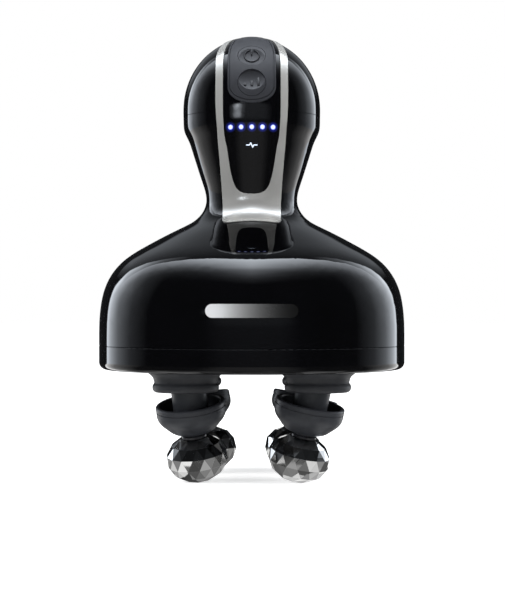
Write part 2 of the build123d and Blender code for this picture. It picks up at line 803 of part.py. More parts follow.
def crank_bushes():
    """The four bushes in the gearbox plate."""
    bush = tube(BUSH_R, JOURNAL_R + RUN_GAP, PLATE_Z, PLATE_Z + PLATE_T)
    return [head_spot(name) * bush for name in HEADS]


def plate_hole(radius):
    """Round bar that cuts a hole through the gearbox plate."""
    return rod(radius, PLATE_Z - OVER, PLATE_Z + PLATE_T + OVER)


def gearbox_plate():
    """The plate that carries the motor and the tops of the crank gears."""
    plate = rod(PLATE_R, PLATE_Z, PLATE_Z + PLATE_T) - plate_hole(GEARHEAD_SPIGOT_R + GAP)
    for name in HEADS:
        plate -= head_spot(name) * plate_hole(BUSH_R)
    for spot in post_spots() + motor_screw_spots():
        plate -= spot * plate_hole(SCREW_R + GAP)
    return plate


def motor_screw_spots():
    """Places of the three screws through the gearhead's flange."""
    return [Rot(0, 0, turn) * Pos(MOTOR_SCREW_OFFSET, 0, 0) for turn in (30, 150, 270)]


def small_screws(spots, head_z, length):
    """Cross-headed screws with their heads standing on head_z."""
    top_z = head_z + SCREW_HEAD_T
    screw = rod(SCREW_HEAD_R, head_z, top_z) + rod(SCREW_R, head_z - length, head_z + OVER / 2)
    screw -= Pos(0, 0, top_z) * cross_slot(SCREW_CROSS)
    return [spot * screw for spot in spots]


def gearhead():
    """The motor's reduction gear, with a round flange on the plate."""
    base_z = PLATE_Z + PLATE_T
    flange_z = base_z + GEARHEAD_FLANGE_T
    head = rod(GEARHEAD_R, base_z, base_z + GEARHEAD_T)
    head += rod(GEARHEAD_FLANGE_R, base_z, flange_z)
    head += rod(GEARHEAD_SPIGOT_R, PLATE_Z + GAP, base_z + OVER)
    head -= rod(SHAFT_R + RUN_GAP, PLATE_Z, SHAFT_TOP_Z + GAP)
    for spot in motor_screw_spots():
        head -= spot * rod(SCREW_R + GAP, base_z - OVER, flange_z + OVER)
        head -= spot * rod(SCREW_HEAD_R + GAP, flange_z, base_z + GEARHEAD_T + OVER)
    return head


def motor_can():
    """The motor on top of the gearhead, with its bearing boss and two terminals."""
    base_z = PLATE_Z + PLATE_T + GEARHEAD_T
    top_z = base_z + MOTOR_LENGTH
    bearing_r, bearing_h = MOTOR_BEARING
    width, depth, height = MOTOR_TERMINAL
    can = rod(MOTOR_R, base_z, top_z)
    can = fillet(can.edges().group_by(Axis.Z)[-1], MOTOR_ROUND)
    can += rod(bearing_r, top_z - OVER, top_z + bearing_h)
    for side in (-1, 1):
        can += Pos(side * MOTOR_TERMINAL_X, 0, top_z) * Box(width, depth, 2 * height)
    return can


def socket_retainers():
    """The upper half of each head's socket, screwed down on the base's floor."""
    ring = tube(RETAINER_R, RETAINER_BORE_R, BODY_BOTTOM_Z + FLOOR_T, RETAINER_TOP_Z)
    ring -= Pos(0, 0, PIVOT_Z) * Sphere(JOINT_BALL_R + JOINT_GAP)
    return [head_spot(name) * ring for name in HEADS]


# Heads, drawn about the pivot with the head's axis along Z
def stem():
    """The stem, with the joint's ball and the spigot above it."""
    reach = JOINT_BALL_R + OVER
    ball = Sphere(JOINT_BALL_R) & rod(reach, -reach, JOINT_BALL_TOP)
    shank = rod(STEM_R, -STEM_BOTTOM, 0)
    shank = fillet(shank.edges().group_by(Axis.Z)[0], STEM_ROUND)
    whole = ball + shank + rod(SPIGOT_R, JOINT_BALL_TOP - OVER, SPIGOT_TOP)
    return whole - rod(STUD_R + STUD_GAP, -STEM_BOTTOM - OVER, -STUD_TOP + STUD_HEADROOM)


def cup():
    """The cup that catches hair below the boot, and carries the neck pin under it."""
    side = CUP_R - CUP_WALL
    bore = STUD_R + STUD_GAP
    floor_z = -STEM_BOTTOM
    belly_top = -CUP_RIM - CUP_STRAIGHT
    hollow_top = belly_top + CUP_ROUND
    belly = (CUP_R - CUP_BELLY[0], 0, -CUP_BOTTOM + CUP_BELLY[1])
    hollow = (side - CUP_HOLLOW[0], 0, floor_z + CUP_HOLLOW[1])
    outline = [
        Line((CUP_R, 0, -CUP_RIM), (CUP_R, 0, belly_top)),
        Spline(
            [(CUP_R, 0, belly_top), belly, (CUP_FLAT_R, 0, -CUP_BOTTOM)],
            tangents=[(0, 0, -1), (-1, 0, 0)],
        ),
        Line((CUP_FLAT_R, 0, -CUP_BOTTOM), (NECK_PIN_R, 0, -CUP_BOTTOM)),
        Line((NECK_PIN_R, 0, -CUP_BOTTOM), (NECK_PIN_R, 0, -NECK_PIN_BOTTOM)),
        Line((NECK_PIN_R, 0, -NECK_PIN_BOTTOM), (bore, 0, -NECK_PIN_BOTTOM)),
        Line((bore, 0, -NECK_PIN_BOTTOM), (bore, 0, floor_z)),
        Line((bore, 0, floor_z), (STEM_R, 0, floor_z)),
        Spline([(STEM_R, 0, floor_z), hollow, (side, 0, hollow_top)], tangents=[(1, 0, 0), (0, 0, 1)]),
        Line((side, 0, hollow_top), (side, 0, -CUP_RIM)),
        Line((side, 0, -CUP_RIM), (CUP_R, 0, -CUP_RIM)),
    ]
    bowl = revolve(make_face(outline), Axis.Z)
    bowl = fillet(bowl.edges().group_by(Axis.Z)[-1], CUP_ROUND)
    groove_z = -CUP_RIM - CUP_GROOVE
    return bowl - tube(CUP_R + OVER, CUP_R - CUP_GROOVE_DEPTH, groove_z - CUP_GROOVE_W, groove_z)


def neck_ring():
    """The small ring between cup and ball."""
    ring = tube(RING_R, NECK_PIN_R + RING_GAP, -NECK_PIN_BOTTOM, -NECK_PIN_BOTTOM + RING_T)
    return fillet(ring.edges().group_by(Axis.Z)[-1], RING_ROUND)


def electrode():
    """The faceted ball, with its stud up through the cup into the stem."""
    rows = [[Vector(x, y, z - BALL_CENTRE) for x, y, z in row] for row in ball_corners()]
    outlines = [rows[0], rows[-1]]
    for upper, lower in zip(rows, rows[1:]):
        outlines += facets(upper, lower)
    ball = Solid(Shell([make_face(Polyline(*corners, close=True)) for corners in outlines]))
    root_z = rows[0][0].Z - OVER
    return ball + rod(NECK_PIN_R, root_z, -NECK_PIN_BOTTOM) + rod(STUD_R, root_z, -STUD_TOP)


def facets(upper, lower):
    """Triangles between two rows of corners, each taking the nearer next corner in turn."""
    full = 2 * math.pi
    above = [(math.atan2(p.Y, p.X) % full, p) for p in upper]
    below = [(math.atan2(p.Y, p.X) % full, p) for p in lower]
    above.append((above[0][0] + full, above[0][1]))
    below.append((below[0][0] + full, below[0][1]))
    triangles = []
    a, b = 0, 0
    while a < len(upper) or b < len(lower):
        if b == len(lower) or (a < len(upper) and above[a + 1][0] <= below[b + 1][0]):
            triangles.append((above[a][1], above[a + 1][1], below[b][1]))
            a += 1
        else:
            triangles.append((above[a][1], below[b + 1][1], below[b][1]))
            b += 1
    return triangles


# Boots
def boot():
    """A bellows of rubber round the socket boss, drawn about the Z axis."""
    inner_r = BOOT_GROOVE[0] - BOOT_WALL
    seat_r = SOCKET_BOSS_R + GAP
    seat_z = SOCKET_BOSS_Z - GAP
    flange_z = BODY_BOTTOM_Z - BOOT_FLANGE_T
    mouth_top = BOOT_BOTTOM_Z + BOOT_LIP_T
    drawn = [BOOT_FLARE, BOOT_WAIST, BOOT_GROOVE, BOOT_BULGE, (BOOT_BOTTOM_R, BOOT_BOTTOM_Z)]
    flare, waist, groove, bulge, bottom = [(r, 0, z) for r, z in drawn]
    flange = (BOOT_FLANGE_R, 0, flange_z)
    outline = [
        Line((seat_r, 0, BODY_BOTTOM_Z), (BOOT_FLANGE_R, 0, BODY_BOTTOM_Z)),
        Line((BOOT_FLANGE_R, 0, BODY_BOTTOM_Z), flange),
        Spline([flange, flare, waist], tangents=[(-1, 0, -1), (0, 0, -1)]),
        Line(waist, groove),
        Spline([groove, bulge, bottom], tangents=[(1, 0, -1), (-1, 0, -0.2)]),
        Line(bottom, (BOOT_MOUTH_R, 0, BOOT_BOTTOM_Z)),
        Line((BOOT_MOUTH_R, 0, BOOT_BOTTOM_Z), (BOOT_MOUTH_R, 0, mouth_top)),
        Line((BOOT_MOUTH_R, 0, mouth_top), (inner_r, 0, mouth_top)),
        Line((inner_r, 0, mouth_top), (inner_r, 0, seat_z)),
        Line((inner_r, 0, seat_z), (seat_r, 0, seat_z)),
        Line((seat_r, 0, seat_z), (seat_r, 0, BODY_BOTTOM_Z)),
    ]
    return revolve(make_face(outline), Axis.Z)


def save(name, shape):
    """Writes one node. A list is a group of separate solids."""
    if isinstance(shape, list):
        shape = Compound(children=shape)
    export_step(shape, f"parts/{name}.step")


save("main_housing", main_housing())
save("handle_cap", handle_cap())
save("base_cover", base_cover())
save("base_seal", base_seal())
save("cover_screws", cover_screws())
save("trim_frame", trim_frame())
save("display_panel", display_panel())
save("button_pad", button_pad())
save("power_button", key(POWER_Z))
save("level_button", key(LEVEL_Z))
save("light_guide", light_guide())
save("mode_window", mode_window())
save("front_bar", front_bar())
save("key_board", key_board())
save("key_switches", [switch(POWER_Z), switch(LEVEL_Z)])
save("main_board", main_board())
save("status_leds", status_leds())
save("battery_cell", battery_cell())
save("battery_cradle", battery_cradle())
save("battery_tabs", battery_tabs())
save("charge_pins", charge_pins(0))
save("charge_block", charge_block())
save("sun_gear", sun_gear())
save("output_shaft", output_shaft())
save("gearhead", gearhead())
save("motor_can", motor_can())
flange_top_z = PLATE_Z + PLATE_T + GEARHEAD_FLANGE_T
save("motor_screws", small_screws(motor_screw_spots(), flange_top_z, MOTOR_SCREW_LENGTH))
save("gearbox_plate", gearbox_plate())
save("gearbox_screws", small_screws(post_spots(), PLATE_Z + PLATE_T, POST_SCREW_LENGTH))
save("crank_bushes", crank_bushes())
save("socket_retainers", socket_retainers())
for name in HEADS:
    frame = head_frame(name)
    save(f"crank_gear_{name}", crank_gear(name))
    save(f"boot_{name}", head_spot(name) * boot())
    save(f"stem_{name}", frame * stem())
    save(f"cup_{name}", frame * cup())
    save(f"neck_ring_{name}", frame * neck_ring())
    save(f"electrode_{name}", frame * electrode())

print("pivot height", round(PIVOT_Z, 6))
print("key axis origins", key_plane(POWER_Z).origin, key_plane(LEVEL_Z).origin)
print("charging face at y", round(charge_face_y(), 6))
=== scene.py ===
# %% [markdown]
# # A scalp massager, dressed for the camera
#
# The massager is a gloss black dome that fits the hand, with a silver loop round its switches and
# four heads underneath that wobble in rubber boots. Its shapes were made in CAD, in metres, and
# they arrive here as the frame. This lesson gives every piece its finish, models the soft and the
# small pieces that CAD leaves plain, and lights the whole thing as a product photographer would.
#
# The first step loads the frame and notes its box, because nothing made here may grow past it.

# %% The frame
import bpy
import math
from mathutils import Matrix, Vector


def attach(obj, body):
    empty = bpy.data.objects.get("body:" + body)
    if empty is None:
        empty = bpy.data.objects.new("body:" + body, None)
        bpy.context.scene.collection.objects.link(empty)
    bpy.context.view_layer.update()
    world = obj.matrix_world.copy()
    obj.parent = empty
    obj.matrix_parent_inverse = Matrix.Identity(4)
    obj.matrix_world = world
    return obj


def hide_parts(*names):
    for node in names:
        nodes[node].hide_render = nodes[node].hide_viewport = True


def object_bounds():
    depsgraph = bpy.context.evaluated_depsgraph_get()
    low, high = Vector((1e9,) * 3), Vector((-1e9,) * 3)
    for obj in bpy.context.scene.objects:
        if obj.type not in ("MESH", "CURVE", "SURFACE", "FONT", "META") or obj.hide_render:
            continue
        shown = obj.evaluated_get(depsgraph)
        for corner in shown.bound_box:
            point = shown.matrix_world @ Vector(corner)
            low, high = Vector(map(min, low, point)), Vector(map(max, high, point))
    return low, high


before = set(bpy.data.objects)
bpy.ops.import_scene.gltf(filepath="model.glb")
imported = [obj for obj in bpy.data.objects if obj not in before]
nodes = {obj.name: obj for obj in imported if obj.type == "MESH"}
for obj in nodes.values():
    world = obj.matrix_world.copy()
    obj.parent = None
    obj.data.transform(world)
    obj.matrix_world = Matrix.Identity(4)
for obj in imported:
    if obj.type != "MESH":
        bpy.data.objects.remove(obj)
cad_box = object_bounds()
HEADS = ["front_left", "front_right", "rear_left", "rear_right"]
MM = 0.001
print("nodes in the frame:", len(nodes))

# %% [markdown]
# ## The camera
#
# The massager was photographed from straight ahead, with the lens a little above the middle of the
# wide base, and from near enough that the seams bow downwards. A camera that looks level keeps the
# sides of the object upright, so the framing is done with a very small shift and not with a tilt.

# %% The camera
CAMERA_AWAY = 0.619
CAMERA_HEIGHT = 0.064
camera = bpy.data.objects.new("camera", bpy.data.cameras.new("camera"))
bpy.context.scene.collection.objects.link(camera)
camera.location = (0, -CAMERA_AWAY, CAMERA_HEIGHT)
camera.rotation_euler = (math.pi / 2, 0, 0)
camera.data.sensor_width = 36
camera.data.lens = 101.7
camera.data.shift_x = 0.0012
camera.data.shift_y = -0.00495
bpy.context.scene.camera = camera
bpy.context.scene.view_settings.view_transform = "Standard"
print("camera", tuple(camera.location), "lens", camera.data.lens)

# %% [markdown]
# ## The white room
#
# The background is plain white. It is only white where it is looked at: Light Path tells the world
# whether a ray comes from the camera, from a reflection or through something clear, and those rays
# find white. All other rays find a soft grey that fills the shadows and doesn't bleach the colours.

# %% The world
FILL_COLOUR = (0.93, 0.96, 1.0, 1)
FILL_STRENGTH = 0.6
world = bpy.data.worlds.new("white_room")
bpy.context.scene.world = world
world.use_nodes = True
room = world.node_tree.nodes
wire = world.node_tree.links.new
fill = room["Background"]
fill.inputs["Color"].default_value = FILL_COLOUR
fill.inputs["Strength"].default_value = FILL_STRENGTH
white = room.new("ShaderNodeBackground")
white.inputs["Color"].default_value = (1, 1, 1, 1)
path = room.new("ShaderNodeLightPath")
looked_at = room.new("ShaderNodeMath")
anywhere = room.new("ShaderNodeMath")
anywhere.use_clamp = True
wire(path.outputs["Is Camera Ray"], looked_at.inputs[0])
wire(path.outputs["Is Glossy Ray"], looked_at.inputs[1])
wire(looked_at.outputs[0], anywhere.inputs[0])
wire(path.outputs["Is Transmission Ray"], anywhere.inputs[1])
choose = room.new("ShaderNodeMixShader")
wire(anywhere.outputs[0], choose.inputs["Fac"])
wire(fill.outputs[0], choose.inputs[1])
wire(white.outputs[0], choose.inputs[2])
wire(choose.outputs[0], room["World Output"].inputs["Surface"])
print("world nodes:", len(room))

# %% [markdown]
# ## Wiring a material
#
# A material is a small circuit of nodes, and the same bits of wiring come back in all of them. So
# they are made once, as helpers: an empty material, one sum, the place of a point, a value mapped
# onto another span, a colour ramp, and a brightness that follows an angle. Such a brightness is
# given as a few stops: at this many degrees, this bright.

# %% The wiring helpers


def clear_selection():
    """Nothing stays selected, so that the next operator acts only on what it adds."""
    bpy.ops.object.select_all(action="DESELECT")


def new_material(name):
    """An empty material with only its output node."""
    material = bpy.data.materials.new(name)
    material.use_nodes = True
    material.node_tree.nodes.clear()
    output = material.node_tree.nodes.new("ShaderNodeOutputMaterial")
    return material, material.node_tree, output


def arithmetic(tree, operation, first, second=0):
    """One Math node. Each of its two inputs is a number or another node's output."""
    node = tree.nodes.new("ShaderNodeMath")
    node.operation = operation
    for place, value in enumerate((first, second)):
        if isinstance(value, (int, float)):
            node.inputs[place].default_value = value
        else:
            tree.links.new(value, node.inputs[place])
    return node.outputs[0]


def axes_of(tree):
    """The x, y and z of the Object coordinates."""
    where = tree.nodes.new("ShaderNodeTexCoord")
    split = tree.nodes.new("ShaderNodeSeparateXYZ")
    tree.links.new(where.outputs["Object"], split.inputs[0])
    return split.outputs["X"], split.outputs["Y"], split.outputs["Z"]


def mapped(tree, value, low, high, to_low=0.0, to_high=1.0):
    """A value between low and high, mapped onto to_low to to_high and held at both ends."""
    node = tree.nodes.new("ShaderNodeMapRange")
    node.inputs["From Min"].default_value = low
    node.inputs["From Max"].default_value = high
    node.inputs["To Min"].default_value = to_low
    node.inputs["To Max"].default_value = to_high
    tree.links.new(value, node.inputs["Value"])
    return node.outputs["Result"]


def ramp(tree, factor, stops):
    """A colour ramp, read at factor, through its stops of (place, colour)."""
    node = tree.nodes.new("ShaderNodeValToRGB")
    while len(node.color_ramp.elements) < len(stops):
        node.color_ramp.elements.new(0.5)
    for element, (place, colour) in zip(node.color_ramp.elements, stops):
        element.position = place
        element.color = (*colour, 1)
    tree.links.new(factor, node.inputs["Fac"])
    return node


def fade(tree, angle, stops):
    """A brightness that follows an angle in radians through its stops of (degrees, brightness)."""
    first, last = stops[0][0], stops[-1][0]
    peak = max(level for _, level in stops)
    place = mapped(tree, angle, math.radians(first), math.radians(last))
    tones = ramp(tree, place, [
        ((degrees - first) / (last - first), [level / peak] * 3) for degrees, level in stops])
    return arithmetic(tree, "MULTIPLY", tones.outputs["Color"], peak)


# %% [markdown]
# ## The floor
#
# The four steel balls stand on a white sheet. The sheet glows a little by itself where the camera
# looks at it, so that it melts into the background, and the rest of its brightness is lamp light,
# so that it still shows the soft shadow under the heads.

# %% The floor
FLOOR_SIDE = 8
SHEET_WHITE = (0.86, 0.86, 0.86, 1)
SHEET_GLOW = 0.62
clear_selection()
bpy.ops.mesh.primitive_plane_add(size=FLOOR_SIDE, location=(0, 0, cad_box[0].z))
floor = bpy.context.object
floor.name = "floor"
paper, tree, output = new_material("paper_sweep")
sheet = tree.nodes.new("ShaderNodeBsdfDiffuse")
sheet.inputs["Color"].default_value = SHEET_WHITE
light_path = tree.nodes.new("ShaderNodeLightPath")
lit = tree.nodes.new("ShaderNodeEmission")
glow = arithmetic(tree, "MULTIPLY", light_path.outputs["Is Camera Ray"], SHEET_GLOW)
tree.links.new(glow, lit.inputs["Strength"])
white_sheet = tree.nodes.new("ShaderNodeAddShader")
tree.links.new(sheet.outputs[0], white_sheet.inputs[0])
tree.links.new(lit.outputs[0], white_sheet.inputs[1])
floor.data.materials.append(paper)
print("floor at", round(cad_box[0].z * 1000, 2), "mm")

# %% [markdown]
# ## The papers on the floor
#
# What the balls mirror is another matter. A jeweller's photographer lays grey and black paper
# round a faceted stone, because facets that all mirror white can't be told apart. The cells of a
# Voronoi pattern are that paper here, painted as a glow that only reflections see. They end close
# to the heads, because the gloss base would mirror them too when it is seen from above. Further
# out the table's glow is painted light: grey in front of the massager, dark beside it and bright
# behind, where the softboxes would light it, as an angle decides.

# %% The papers on the floor
PAPERS_PER_METRE = 55
PAPERS_DARKEST = 0.05
PAPERS_CONTRAST = 1.6
PAPERS_R = 0.06
PAPERS_END_R = 0.08
TABLE_TURN = [
    (0, 0.30), (20, 0.26), (34, 0.05), (80, 0.05), (114, 0.9), (128, 2.2), (133, 3.0), (134.5, 0.02)]
spot = tree.nodes.new("ShaderNodeTexCoord")
cells = tree.nodes.new("ShaderNodeTexVoronoi")
cells.inputs["Scale"].default_value = PAPERS_PER_METRE
tree.links.new(spot.outputs["Object"], cells.inputs["Vector"])
tones = tree.nodes.new("ShaderNodeSeparateColor")
tree.links.new(cells.outputs["Color"], tones.inputs[0])
shades = arithmetic(tree, "POWER", tones.outputs[0], PAPERS_CONTRAST)
shades = arithmetic(tree, "ADD", PAPERS_DARKEST, shades)
reach = tree.nodes.new("ShaderNodeVectorMath")
reach.operation = "LENGTH"
tree.links.new(spot.outputs["Object"], reach.inputs[0])
near = mapped(tree, reach.outputs["Value"], PAPERS_END_R, PAPERS_R)
# Painted light on the table, which only reflections see: grey in front, dark beside, bright behind.
x, y, z = axes_of(tree)
sideways = arithmetic(tree, "ABSOLUTE", x)
forwards = arithmetic(tree, "MULTIPLY", y, -1)
sweep = fade(tree, arithmetic(tree, "ARCTAN2", sideways, forwards), TABLE_TURN)
papers = arithmetic(tree, "SUBTRACT", shades, sweep)
papers = arithmetic(tree, "MULTIPLY", papers, near)
table = tree.nodes.new("ShaderNodeEmission")
tree.links.new(arithmetic(tree, "ADD", papers, sweep), table.inputs["Strength"])
seen = tree.nodes.new("ShaderNodeMixShader")
tree.links.new(light_path.outputs["Is Glossy Ray"], seen.inputs["Fac"])
tree.links.new(white_sheet.outputs[0], seen.inputs[1])
tree.links.new(table.outputs[0], seen.inputs[2])
tree.links.new(seen.outputs[0], output.inputs["Surface"])
paper.cycles.emission_sampling = "NONE"
print("papers out to", round(PAPERS_END_R / MM), "mm from the middle")

# %% [markdown]
# ## The lamps
#
# Three large lamps light what is matt: the rubber, the moulded cups and the floor. They are hidden
# from reflections, because what the gloss mirrors is painted onto a light tent in the next steps.

# %% The lamps
MIDDLE = Vector((0, 0, 0.08))
LAMPS = [
    ("lamp_left", (-0.7, -0.25, 0.35), 0.6, 5.5),
    ("lamp_right", (0.7, -0.25, 0.35), 0.6, 5.5),
    ("lamp_top", (0.05, -0.1, 0.95), 0.7, 7.0),
]
for name, place, size, watts in LAMPS:
    light = bpy.data.lights.new(name, "AREA")
    light.size = size
    light.energy = watts
    lamp = bpy.data.objects.new(name, light)
    bpy.context.scene.collection.objects.link(lamp)
    lamp.location = place
    aim = MIDDLE - Vector(place)
    lamp.rotation_euler = aim.to_track_quat("-Z", "Y").to_euler()
    lamp.visible_glossy = False
    lamp.visible_camera = False
print("lamps:", len(LAMPS))

# %% [markdown]
# ## The light tent
#
# Gloss black has hardly any colour of its own: what is seen on it is the room. A photographer hangs
# a tent of cloth round such an object and lights the cloth. The tent here is one big sphere that
# only reflections see. It has no floor, and a narrow slot at the rear lets the outline of the
# massager mirror the white background.

# %% The light tent
TENT_R = 0.65
TENT_FOOT = -12
SLOT_TURN = 174
SLOT_TOP = 30


def edit_faces(piece, wanted):
    """Goes into edit mode with just the faces selected whose middle is wanted."""
    clear_selection()
    piece.select_set(True)
    bpy.context.view_layer.objects.active = piece
    bpy.ops.object.mode_set(mode="EDIT")
    bpy.ops.mesh.select_mode(type="FACE")
    bpy.ops.mesh.select_all(action="DESELECT")
    bpy.ops.object.mode_set(mode="OBJECT")
    for face in piece.data.polygons:
        face.select = wanted(*face.center)
    bpy.ops.object.mode_set(mode="EDIT")


def open_air(x, y, z):
    """Whether no cloth hangs there: below the foot of the tent, or in the slot at the rear."""
    turn = math.degrees(math.atan2(abs(x), -y))
    height = math.degrees(math.atan2(z, math.hypot(x, y)))
    return height <= TENT_FOOT or (turn > SLOT_TURN and height < SLOT_TOP)


clear_selection()
bpy.ops.mesh.primitive_uv_sphere_add(segments=180, ring_count=90, radius=TENT_R, location=MIDDLE)
tent = bpy.context.object
tent.name = "light_tent"
edit_faces(tent, open_air)
bpy.ops.mesh.delete(type="FACE")
bpy.ops.object.mode_set(mode="OBJECT")
cloth, tree, output = new_material("light_tent_cloth")
cloth.cycles.emission_sampling = "NONE"
tent.data.materials.append(cloth)
tent.visible_camera = False
tent.visible_diffuse = False
tent.visible_shadow = False
tent.visible_transmission = False
print("faces of the tent:", len(tent.data.polygons))

# %% [markdown]
# ## The angles on the tent
#
# Light is painted onto the cloth by angles, seen from the middle of the massager. The turn goes
# round from the front, the height up from the level, the pitch from the front over the top, and
# aside is how far a point leans from overhead to the side.
#
# One more angle is the pitch with its lines bent backwards at both sides. The bend starts gently at
# the middle and runs straight further out, as the square root of x squared plus a constant does.

# %% The angles on the tent
BEND = 0.9
BEND_FLAT = 0.16
x, y, z = axes_of(tree)
sideways = arithmetic(tree, "ABSOLUTE", x)
forwards = arithmetic(tree, "MULTIPLY", y, -1)
turn = arithmetic(tree, "ARCTAN2", sideways, forwards)
height = arithmetic(tree, "ARCSINE", arithmetic(tree, "DIVIDE", z, TENT_R))
pitch = arithmetic(tree, "ARCTAN2", z, forwards)
aside = arithmetic(tree, "ARCTAN2", sideways, z)
off_middle = arithmetic(tree, "ADD", arithmetic(tree, "POWER", x, 2), BEND_FLAT ** 2)
off_middle = arithmetic(tree, "SUBTRACT", arithmetic(tree, "SQRT", off_middle), BEND_FLAT)
back = arithmetic(tree, "MULTIPLY", off_middle, BEND)
bent_pitch = arithmetic(tree, "ARCTAN2", z, arithmetic(tree, "ADD", forwards, back))
print("nodes for the angles:", len(tree.nodes))

# %% [markdown]
# ## The bands, the mist and the haze
#
# Most of the cloth is nearly dark. A lit band on either side draws the pale edge inside the
# outline. It is brightest at its rear edge, which is why that edge is sharp on the outside and
# fades inwards. The mist overhead draws the pale sweep on the shoulder. Its rear edge bends back on
# both sides until it meets the bands, so the shoulder shows one long edge. A faint haze further
# back greys the slope above that edge.

# %% The bands, the mist and the haze
BAND_TURN = [(80, 0.0), (99, 0.3), (114, 1.0), (127, 2.4), (133, 3.5), (134.5, 0.0)]
BAND_HEIGHT = [(-12, 1.0), (6, 1.2), (18, 1.5), (32, 0.9), (46, 0.25), (60, 0.0)]
MIST_PITCH = [(40, 0.0), (50, 0.35), (57, 0.85), (67, 2.8), (80, 7.5), (93, 9.5), (94, 0.0)]
MIST_ASIDE = [(0, 1.0), (14, 0.75), (30, 0.38), (46, 0.17), (75, 0.0)]
HAZE_PITCH = [(88, 0.0), (95, 0.07), (120, 0.22), (140, 0.38), (149, 0.38), (153, 0.0)]
HAZE_ASIDE = [(0, 1.0), (50, 1.0), (66, 0.0)]


def patch(tree, first, first_stops, second, second_stops):
    """A patch of light that fades along two angles at once."""
    return arithmetic(
        tree, "MULTIPLY", fade(tree, first, first_stops), fade(tree, second, second_stops))


bands = patch(tree, turn, BAND_TURN, height, BAND_HEIGHT)
mist = patch(tree, bent_pitch, MIST_PITCH, aside, MIST_ASIDE)
haze = patch(tree, bent_pitch, HAZE_PITCH, aside, HAZE_ASIDE)
print("the mist is brightest, at", MIST_PITCH[-2][1], "where its rear edge begins")

# %% [markdown]
# ## The window with its glint
#
# A low window in front of the massager is mirrored at the top of the panel, and one glint lights
# its left corner. The glint is a distance from a point on the tent. Heights are stretched before it
# is measured, so that it comes out flatter than round. Divided by the radius of the tent, the
# distance is nearly an angle. At the end all the patches are added up and light the cloth.

# %% The window with its glint
COOL = (0.86, 0.92, 1.0, 1)
DARK = 0.02
WINDOW_PITCH = [(-12, 0.15), (1, 0.3), (8, 1.0), (11, 1.0), (14, 0.0)]
WINDOW_TURN = [(0, 0.30), (20, 0.26), (34, 0.0)]
GLINT_SPOT = (-0.255, -0.587, 0.114)
GLINT_FLAT = 2.2
GLINT_FADE = [(0, 9.0), (4, 4.5), (9, 0.7), (14, 0.0)]
where = tree.nodes.new("ShaderNodeTexCoord")
flat = tree.nodes.new("ShaderNodeVectorMath")
flat.operation = "MULTIPLY"
flat.inputs[1].default_value = (1, 1, GLINT_FLAT)
tree.links.new(where.outputs["Object"], flat.inputs[0])
off_glint = tree.nodes.new("ShaderNodeVectorMath")
off_glint.operation = "DISTANCE"
off_glint.inputs[1].default_value = (GLINT_SPOT[0], GLINT_SPOT[1], GLINT_SPOT[2] * GLINT_FLAT)
tree.links.new(flat.outputs[0], off_glint.inputs[0])
glint = fade(tree, arithmetic(tree, "DIVIDE", off_glint.outputs["Value"], TENT_R), GLINT_FADE)
window = arithmetic(tree, "ADD", fade(tree, turn, WINDOW_TURN), glint)
window = arithmetic(tree, "MULTIPLY", fade(tree, pitch, WINDOW_PITCH), window)

tent_light = DARK
for part in (bands, mist, haze, window):
    tent_light = arithmetic(tree, "ADD", part, tent_light)
glow = tree.nodes.new("ShaderNodeEmission")
glow.inputs["Color"].default_value = COOL
tree.links.new(tent_light, glow.inputs["Strength"])
tree.links.new(glow.outputs[0], output.inputs["Surface"])
print("the cloth is dark at", DARK, "and the glint is lit at", GLINT_FADE[0][1])

# %% [markdown]
# ## The finishes
#
# A helper gives each finish its shader. Plastic and metal are never perfectly even, so each finish
# gets a fine grain in its bump, or a slow drift in its roughness or its colour. All of them read
# Object coordinates, which are metres here, so a grain of 3000 is one grain every third of a
# millimetre. A noise seldom strays far from its middle, so only that part of it is used.

# %% The finish helpers
NOISE_LOW = 0.3
NOISE_HIGH = 0.7
CLOUDS = 300
DEEPER = 0.92
PALER = 1.08
GRAIN_STRENGTH = 0.2


def finish(name, colour, roughness, metal=0.0):
    """A material with one Principled shader on its output."""
    material, tree, output = new_material(name)
    shader = tree.nodes.new("ShaderNodeBsdfPrincipled")
    shader.name = "shader"
    shader.inputs["Base Color"].default_value = (*colour, 1)
    shader.inputs["Roughness"].default_value = roughness
    shader.inputs["Metallic"].default_value = metal
    tree.links.new(shader.outputs[0], output.inputs["Surface"])
    return material


def noise(material, per_metre, stretch=(1, 1, 1)):
    """A noise pattern on Object coordinates, as a value from 0 to 1."""
    tree = material.node_tree
    where = tree.nodes.new("ShaderNodeTexCoord")
    scaled = tree.nodes.new("ShaderNodeMapping")
    scaled.inputs["Scale"].default_value = stretch
    pattern = tree.nodes.new("ShaderNodeTexNoise")
    pattern.inputs["Scale"].default_value = per_metre
    pattern.inputs["Detail"].default_value = 3.0
    tree.links.new(where.outputs["Object"], scaled.inputs["Vector"])
    tree.links.new(scaled.outputs["Vector"], pattern.inputs["Vector"])
    return pattern.outputs["Fac"]


def grain(material, per_metre, strength, depth, stretch=(1, 1, 1)):
    """A fine moulded grain in the bump."""
    tree = material.node_tree
    bump = tree.nodes.new("ShaderNodeBump")
    bump.inputs["Strength"].default_value = strength
    bump.inputs["Distance"].default_value = depth
    tree.links.new(noise(material, per_metre, stretch), bump.inputs["Height"])
    tree.links.new(bump.outputs[0], tree.nodes["shader"].inputs["Normal"])


def drift(material, per_metre, low, high, stretch=(1, 1, 1)):
    """The roughness wanders between two values over the surface."""
    tree = material.node_tree
    pattern = noise(material, per_metre, stretch)
    roughness = mapped(tree, pattern, NOISE_LOW, NOISE_HIGH, low, high)
    tree.links.new(roughness, tree.nodes["shader"].inputs["Roughness"])


def mottle(material, per_metre, first, second):
    """The colour wanders between two tones over the surface."""
    tree = material.node_tree
    tones = ramp(tree, noise(material, per_metre), [(0.35, first), (0.65, second)])
    tree.links.new(tones.outputs["Color"], tree.nodes["shader"].inputs["Base Color"])


